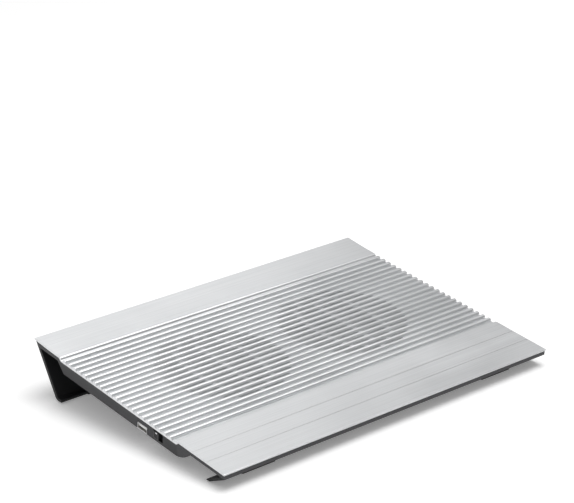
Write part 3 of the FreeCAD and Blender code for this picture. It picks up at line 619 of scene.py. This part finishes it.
@dataclass
class RibbedDeck:
    """The tilted aluminium extrusion that the laptop lies on. Sizes in millimetres, deck frame."""

    tilt: float = 7.8
    height: float = 34.75
    width: float = 380.0
    front: float = -140.2
    rear: float = 139.76
    rear_rise: float = 1.2
    sheet: float = 1.5
    rib_count: int = 21
    rib_pitch: float = 7.88
    rib_radius: float = 2.5
    first_rib: float = 92.4
    valley: float = -2.6
    front_step: float = -75.0
    front_run: float = 4.4
    rear_step: float = 99.8
    rear_run: float = 4.6
    under_front_step: float = -77.7
    under_front_run: float = 4.2
    under_rear_step: float = 101.6
    under_rear_run: float = 4.6
    rear_nose: float = 0.4
    grooves: tuple[float, ...] = (-96.6, -115.8)
    groove_half: float = 0.4
    groove_depth: float = 0.35
    fan_x: float = 71.8
    fan_y: float = 11.0
    vent_radius: float = 62.0
    slot_width: float = 2.2
    slot_longest: float = 28.0
    slot_bridge: float = 4.0
    end_round: float = 0.12
    guard: float = 0.4
    rails: tuple[tuple[float, float, float], ...] = ((-107.0, -1.5, -2.9), (118.0, -1.25, -4.0))
    rail_length: float = 370.0
    rail_width: float = 7.0
    rail_sink: float = 0.1
    rail_round: float = 0.3
    finish: DrawnAluminium = field(default_factory=DrawnAluminium)

    def section(self) -> Section:
        """Draw the sheet's cross-section.

        Returns:
            The closed section.
        """
        under = self.valley - self.sheet
        edge = self.sheet / 2
        s = Section(self.under_front_step, -self.sheet)
        s.s_bend(self.under_front_run, self.valley)
        s.line(self.under_rear_step - self.under_rear_run, under).s_bend(self.under_rear_run, -self.valley)
        s.line(self.under_rear_step + self.guard, -self.sheet)
        middle = (self.under_rear_step + self.rear) / 2
        s.arc((middle, self.rear_rise / 4 - self.sheet), (self.rear, self.rear_rise - self.sheet), 10)
        s.arc((self.rear + self.rear_nose, self.rear_rise - edge), (self.rear, self.rear_rise), 6)
        s.line(self.rear - self.guard, self.rear_rise - 0.01)
        s.arc(((self.rear_step + self.rear) / 2, self.rear_rise / 4), (self.rear_step + self.guard, 0.0), 10)
        s.line(self.rear_step, 0.0).s_bend(-self.rear_run, self.valley)
        half = math.sqrt(self.rib_radius**2 - (self.valley + self.rib_radius) ** 2)
        for i in range(self.rib_count):
            y = self.first_rib - self.rib_pitch * i
            s.line(y + half, self.valley).arc((y, 0.0), (y - half, self.valley), 14)
        s.line(self.front_step + self.front_run, self.valley).s_bend(-self.front_run, -self.valley)
        s.line(self.front_step - self.guard, 0.0)
        for y in self.grooves:
            s.line(y + self.groove_half, 0).line(y, -self.groove_depth).line(y - self.groove_half, 0)
        s.line(self.front + edge + self.guard, 0).line(self.front + edge, 0)
        s.arc((self.front, -edge), (self.front + edge, -self.sheet), 8)
        return s

    def slot_cutters(self) -> bmesh.types.BMesh:
        """Make round-ended prisms for the vent slots in the valleys over both fans.

        Returns:
            One mesh with every prism.
        """
        bm = bmesh.new()
        reach = self.slot_width / 2
        for fan_x in (-self.fan_x, self.fan_x):
            for i in range(self.rib_count - 1):
                y = self.first_rib - self.rib_pitch * (i + 0.5)
                off = abs(y - self.fan_y)
                if off > self.vent_radius * 0.95:
                    continue
                chord = 2 * math.sqrt(self.vent_radius**2 - off**2)
                count = math.ceil((chord + self.slot_bridge) / (self.slot_longest + self.slot_bridge))
                pitch = (chord + self.slot_bridge) / count
                half = (pitch - self.slot_bridge) / 2 - reach
                for k in range(count):
                    x = fan_x + (k - (count - 1) / 2) * pitch
                    made = bmesh.ops.create_cone(
                        bm, cap_ends=True, segments=12, radius1=reach * MM, radius2=reach * MM, depth=5 * MM
                    )["verts"]
                    for v in made:
                        v.co.x += math.copysign(half * MM, v.co.x)
                    bmesh.ops.translate(bm, verts=made, vec=(x * MM, y * MM, (self.valley - 0.75) * MM))
        return bm

    def placed(self, bm: bmesh.types.BMesh) -> bmesh.types.BMesh:
        """Tilt a mesh from the deck frame into the world frame.

        Args:
            bm: The mesh, which is changed.

        Returns:
            The same mesh.
        """
        turn = Matrix.Rotation(math.radians(self.tilt), 4, "X")
        bmesh.ops.transform(bm, matrix=Matrix.Translation((0, 0, self.height * MM)) @ turn, verts=bm.verts)
        return bm

    def build(self) -> None:
        """Build the deck with its slots and rounded ends."""
        bm = self.section().extruded(-self.width / 2 * MM, self.width / 2 * MM)
        ends = [e for e in bm.edges if abs(e.verts[0].co.x - e.verts[1].co.x) < 1e-7]
        chamfer(bm, ends, self.end_round * MM)
        for x in (-1, 1):
            place = (x * (self.width / 2 - self.guard) * MM, 0, 0)
            every = bm.verts[:] + bm.edges[:] + bm.faces[:]
            bmesh.ops.bisect_plane(bm, geom=every, dist=1e-7, plane_co=place, plane_no=(1, 0, 0))
        cut = self.cut(bm)
        whole = bmesh.new()
        whole.from_mesh(cut)
        bpy.data.meshes.remove(cut)
        self.add_rails(whole)
        deck = piece("deck_extrusion", self.placed(whole), self.finish.make(), "pad", 24.0)
        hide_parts("top_panel")

    def add_rails(self, bm: bmesh.types.BMesh) -> None:
        """Add the screw rails under the sheet.

        Args:
            bm: The cut sheet, in the deck frame.
        """
        for y, top, low in self.rails:
            rail = bmesh.ops.create_cube(bm, size=1.0)["verts"]
            high = top + self.rail_sink
            size = (self.rail_length * MM, self.rail_width * MM, (high - low) * MM)
            bmesh.ops.scale(bm, verts=rail, vec=size)
            bmesh.ops.translate(bm, verts=rail, vec=(0, y * MM, (low + high) / 2 * MM))
            chamfer(bm, list({e for v in rail for e in v.link_edges}), self.rail_round * MM)

    def cut(self, bm: bmesh.types.BMesh) -> bpy.types.Mesh:
        """Cut the vent slots.

        Args:
            bm: The solid sheet, which is freed.

        Returns:
            The cut mesh.
        """
        objects = []
        for name, source in (("sheet", bm), ("slot_tools", self.slot_cutters())):
            mesh = bpy.data.meshes.new(name)
            source.to_mesh(mesh)
            source.free()
            made = bpy.data.objects.new(name, mesh)
            bpy.context.scene.collection.objects.link(made)
            objects.append(made)
        sheet, tools = objects
        knife = sheet.modifiers.new("slots", "BOOLEAN")
        knife.operation = "DIFFERENCE"
        knife.solver = "EXACT"
        knife.object = tools
        graph = bpy.context.evaluated_depsgraph_get()
        result = bpy.data.meshes.new_from_object(sheet.evaluated_get(graph))
        for used in objects:
            mesh = used.data
            bpy.data.objects.remove(used)
            bpy.data.meshes.remove(mesh)
        return result


@dataclass
class RubberPads:
    """The four pads the stands rest on. Sizes in millimetres, world frame."""

    centre: float = 140.5
    length: float = 37.0
    height: float = 1.5
    end_round: float = 1.8
    edge_round: float = 0.25
    finish: SoftRubber = field(default_factory=SoftRubber)

    def pair(self, name: str, section: Section, node: str, material: bpy.types.Material) -> None:
        """Build one pair.

        Args:
            name: The piece's name.
            section: The pads' cross-section.
            node: The CAD node it stands for.
            material: Its finish.
        """
        whole = bmesh.new()
        for x in (-self.centre, self.centre):
            low, high = (x - self.length / 2) * MM, (x + self.length / 2) * MM
            bm = section.extruded(low, high)
            upright = [
                e for e in bm.edges
                if abs(e.verts[0].co.x - e.verts[1].co.x) < 1e-7
                and abs(e.verts[0].co.y - e.verts[1].co.y) < 1e-7
            ]
            chamfer(bm, upright, self.end_round * MM, 6)
            rims = [e for e in bm.edges if e.is_manifold and e.calc_face_angle() > math.radians(50)]
            chamfer(bm, rims, self.edge_round * MM, 3)
            mesh = bpy.data.meshes.new("half")
            bm.to_mesh(mesh)
            bm.free()
            whole.from_mesh(mesh)
            bpy.data.meshes.remove(mesh)
        made = piece(name, whole, material, "pad")
        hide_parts(node)

    def build(self) -> None:
        """Build both pairs."""
        rubber = self.finish.make()
        front = Section(-122.5, 0).line(-110.6, 0).line(-110.6, self.height)
        front.line(-116.6, self.height).line(-122.5, 3.95)
        self.pair("front_rubber_pads", front, "front_pads", rubber)
        rear = Section(103.3, 0).line(107.5, 0).line(107.5, self.height).line(103.3, self.height)
        self.pair("rear_rubber_pads", rear, "rear_pads", rubber)


@dataclass
class SideControls:
    """Small details of the socket and the switch in the left wall. Sizes in millimetres, deck frame."""

    deck: RibbedDeck
    wall: float = -189.0
    port_y: float = -24.9
    contact_z: float = -12.58
    contact_pitch: float = 2.3
    contact_count: int = 4
    contact_inset: float = 5.2
    contact_size: tuple[float, float, float] = (7.5, 1.0, 0.16)
    # A bright steel bar on the top of the switch's cap stands in for a painted highlight.
    highlight_bar_size: tuple[float, float, float] = (0.7, 2.4, 1.1)
    highlight_bar_place: tuple[float, float, float] = (-189.76, -46.2, -7.0)
    gold: PlatedMetal = PlatedMetal("contact_gold", (0.83, 0.62, 0.26), (0.6, 0.42, 0.18), 0.24)
    bright: PlatedMetal = PlatedMetal("switch_highlight_steel", (0.82, 0.82, 0.83), (0.6, 0.6, 0.6), 0.2)

    def bar(self, size: Vector, place: Vector, rounding: float) -> bmesh.types.BMesh:
        """A rounded bar.

        Args:
            size: Its lengths.
            place: Its middle.
            rounding: Radius of its edges.

        Returns:
            A closed mesh in the deck frame.
        """
        bm = bmesh.new()
        made = bmesh.ops.create_cube(bm, size=1.0)["verts"]
        bmesh.ops.scale(bm, verts=made, vec=size * MM)
        bmesh.ops.translate(bm, verts=made, vec=place * MM)
        chamfer(bm, list(bm.edges), rounding * MM, 3)
        return bm

    def build(self) -> None:
        """Build the socket's contacts and the bright bar on the switch's cap that paints its highlight."""
        contacts = bmesh.new()
        for i in range(self.contact_count):
            y = self.port_y + (i - (self.contact_count - 1) / 2) * self.contact_pitch
            place = Vector((self.wall + self.contact_inset, y, self.contact_z))
            strip = self.bar(Vector(self.contact_size), place, 0.05)
            mesh = bpy.data.meshes.new("strip")
            strip.to_mesh(mesh)
            strip.free()
            contacts.from_mesh(mesh)
            bpy.data.meshes.remove(mesh)
        piece("socket_contacts", self.deck.placed(contacts), self.gold.make(), "pad")
        # Painted highlight: a bright steel bar set just proud of the cap's top.
        highlight_bar = self.bar(Vector(self.highlight_bar_size), Vector(self.highlight_bar_place), 0.25)
        piece("switch_painted_highlight", self.deck.placed(highlight_bar), self.bright.make(), "switch")


@dataclass
class CarriedParts:
    """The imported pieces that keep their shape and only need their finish."""

    frame: dict
    tray: MouldedPlastic = MouldedPlastic("tray_plastic", (0.03, 0.03, 0.033), specular=0.38)
    # The stands' plastic is black and is made darker than the tray's as painted shade, because the stands sit
    # in the shade under the deck.
    stand: MouldedPlastic = MouldedPlastic("stand_plastic", (0.013, 0.013, 0.014), edge_lift=0.2, specular=0.22)
    fan: MouldedPlastic = MouldedPlastic("fan_plastic", (0.018, 0.018, 0.019), 0.36)
    switch: MouldedPlastic = MouldedPlastic("switch_plastic", (0.014, 0.014, 0.015), 0.3)
    pale: MouldedPlastic = MouldedPlastic("pale_insulator", (0.78, 0.78, 0.76), 0.42)
    magnet: MouldedPlastic = MouldedPlastic("magnet_ferrite", (0.045, 0.042, 0.04), 0.6)
    steel: PlatedMetal = PlatedMetal("bright_steel", (0.62, 0.62, 0.63), (0.42, 0.41, 0.40))
    socket: PlatedMetal = PlatedMetal("socket_steel", (0.86, 0.86, 0.87), (0.6, 0.6, 0.6), 0.38)
    bearing: PlatedMetal = PlatedMetal("bearing_bronze", (0.66, 0.44, 0.22), (0.4, 0.26, 0.13), 0.45)
    sleeve: SoftRubber = SoftRubber("lead_sleeve", (0.014, 0.014, 0.015), (0.03, 0.03, 0.03))

    def finishes(self) -> dict[str, bpy.types.Material]:
        """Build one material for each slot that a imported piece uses.

        Returns:
            Materials by slot name.
        """
        return {
            "tray_plastic": self.tray.make(),
            "stand_plastic": self.stand.make(),
            "fan_plastic": self.fan.make(),
            "switch_plastic": self.switch.make(),
            "pale_insulator": self.pale.make(),
            "magnet": self.magnet.make(),
            "bright_steel": self.steel.make(),
            "socket_steel": self.socket.make(),
            "bearing_brass": self.bearing.make(),
            "lead_sleeve": self.sleeve.make(),
            "circuit_board": CircuitBoard().make(),
            "winding": Winding().make(),
        }

    def build(self) -> None:
        """Dress every imported node whose slot has a finish here."""
        finishes = self.finishes()
        for entry in self.frame["record"]["subparts"]:
            finish = finishes.get(entry["material_slot"])
            if finish is None:
                continue
            node = self.frame["nodes"][entry["node"]]
            for slot in node.material_slots:
                slot.material = finish
            LOG.info("node %s: %s", entry["node"], finish.name)


@dataclass(frozen=True)
class Lamp:
    """A square soft lamp: its place and side in metres and its power in watts."""

    name: str
    place: tuple[float, float, float]
    side: float
    watts: float


@dataclass
class Studio:
    """Camera, lights and floor."""

    place: tuple[float, float, float] = (-1.1408, -1.4023, 0.7934)
    azimuth: float = 39.06
    elevation: float = 20.27
    roll: float = -2.0
    lens: float = 133.56
    horizon: float = 0.16
    zenith: float = 0.62
    horizon_edge: float = 0.1
    zenith_edge: float = 0.9
    target: tuple[float, float, float] = (0.0, 0.0, 0.03)
    lamps: tuple[Lamp, ...] = (
        Lamp("overhead", (0.5, -0.3, 2.7), 1.8, 44.0),
        Lamp("rear_card", (1.45, 2.05, 1.95), 1.3, 4.2),
    )

    def camera(self) -> None:
        """Set the camera."""
        az, el, roll = (math.radians(a) for a in (self.azimuth, self.elevation, self.roll))
        ahead = Vector((math.sin(az) * math.cos(el), math.cos(az) * math.cos(el), -math.sin(el)))
        right = ahead.cross(Vector((0, 0, 1))).normalized()
        up = right.cross(ahead)
        side = right * math.cos(roll) + up * math.sin(roll)
        top = -right * math.sin(roll) + up * math.cos(roll)
        data = bpy.data.cameras.new("camera")
        data.lens = self.lens
        data.sensor_width = 36.0
        data.clip_end = 60.0
        made = bpy.data.objects.new("camera", data)
        turn = Matrix((side, top, -ahead)).transposed().to_4x4()
        made.matrix_world = Matrix.Translation(self.place) @ turn
        bpy.context.scene.collection.objects.link(made)
        bpy.context.scene.camera = made

    def light(self, lamp: Lamp) -> None:
        """Add a lamp aimed at the pad.

        Args:
            lamp: The lamp.
        """
        data = bpy.data.lights.new(lamp.name, "AREA")
        data.shape = "SQUARE"
        data.size = lamp.side
        data.energy = lamp.watts
        made = bpy.data.objects.new(lamp.name, data)
        made.location = lamp.place
        made.rotation_euler = (Vector(self.target) - Vector(lamp.place)).to_track_quat("-Z", "Y").to_euler()
        bpy.context.scene.collection.objects.link(made)

    def floor(self) -> None:
        """Lay the floor."""
        bm = bmesh.new()
        bmesh.ops.create_grid(bm, x_segments=8, y_segments=8, size=9.0)
        mesh = bpy.data.meshes.new("studio_floor")
        bm.to_mesh(mesh)
        bm.free()
        mesh.materials.append(TableTop().make())
        made = bpy.data.objects.new("studio_floor", mesh)
        bpy.context.scene.collection.objects.link(made)

    def dome(self, tree: bpy.types.NodeTree) -> None:
        """Light the world, dim at the horizon and bright overhead.

        Args:
            tree: The world's node tree.
        """
        place = tree.nodes.new("ShaderNodeTexCoord")
        split = tree.nodes.new("ShaderNodeSeparateXYZ")
        ramp = tree.nodes.new("ShaderNodeMapRange")
        settings = (self.horizon_edge, self.zenith_edge, self.horizon, self.zenith)
        for number, value in enumerate(settings, start=1):
            ramp.inputs[number].default_value = value
        tree.links.new(place.outputs["Generated"], split.inputs[0])
        tree.links.new(split.outputs["Z"], ramp.inputs[0])
        tree.links.new(ramp.outputs[0], tree.nodes["Background"].inputs["Strength"])
        tree.nodes["Background"].inputs["Color"].default_value = (1.0, 1.0, 1.0, 1.0)

    def build(self) -> None:
        """Set up the whole studio."""
        self.camera()
        self.floor()
        world = bpy.data.worlds.new("studio")
        world.use_nodes = True
        self.dome(world.node_tree)
        bpy.context.scene.world = world
        for lamp in self.lamps:
            self.light(lamp)
        bpy.context.scene.view_settings.view_transform = "Standard"


def main() -> None:
    """Build the pad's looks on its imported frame."""
    logging.basicConfig(level=logging.INFO, format="%(name)s: %(message)s")
    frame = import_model()
    Studio().build()
    deck = RibbedDeck()
    deck.build()
    SideControls(deck).build()
    RubberPads().build()
    CarriedParts(frame).build()


if __name__ == "__main__":
    main()
